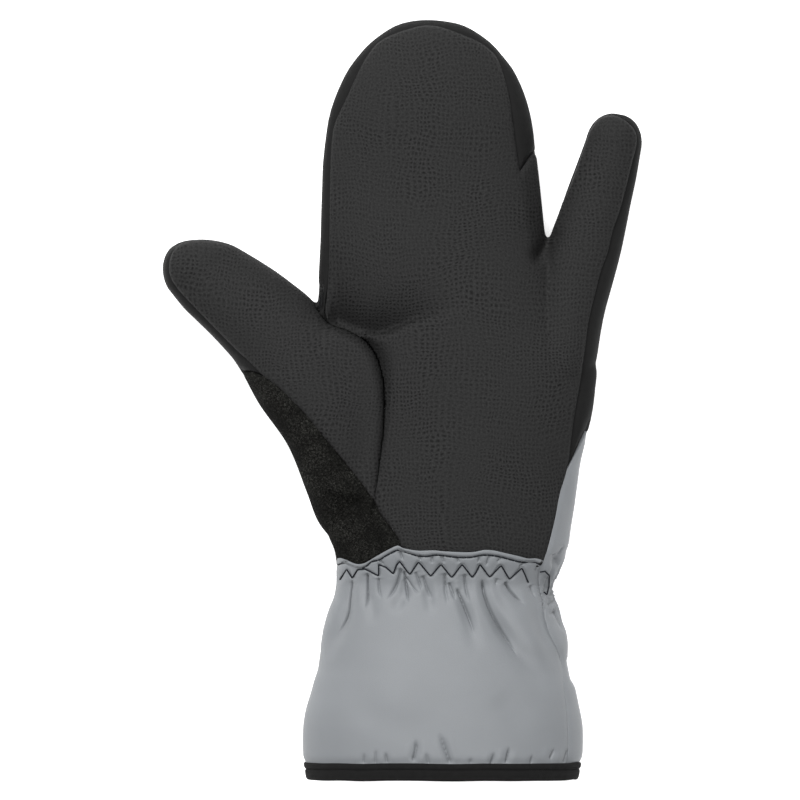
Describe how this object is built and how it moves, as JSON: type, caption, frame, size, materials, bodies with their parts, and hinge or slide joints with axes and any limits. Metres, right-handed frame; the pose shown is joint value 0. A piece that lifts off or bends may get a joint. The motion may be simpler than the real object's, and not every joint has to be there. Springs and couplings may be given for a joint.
{
  "type": "lobster claw mitt",
  "caption": "Padded left-hand winter mitt: thumb, one broad compartment for three fingers, separate little finger, gathered gauntlet cuff with bound hem, hollow and open at the wrist end.",
  "frame": {"origin": "on the surface that the mitt lies on, below the centre of its bounding box", "axes": "+Y from the open hem towards the fingertips, +X towards the little finger, +Z out of the palm"},
  "size_m": [0.1766, 0.2808, 0.044],
  "materials": {
    "grip_fabric": "matte charcoal synthetic with a fine pressed grid of small dark dots",
    "softshell": "smooth matte black stretch softshell",
    "fleece": "short black brushed fleece",
    "reflective_fabric": "silver-grey reflective woven fabric, smooth with a dull sheen",
    "binding_tape": "black knitted stretch tape"
  },
  "bodies": {
    "root": {"palm_panel": "grip_fabric", "thumb_palm": "grip_fabric", "cuff_front": "reflective_fabric", "thumb_fleece": "fleece", "cuff_back": "reflective_fabric", "back_panel": "softshell", "hem_binding": "binding_tape"}
  },
  "joints": []
}
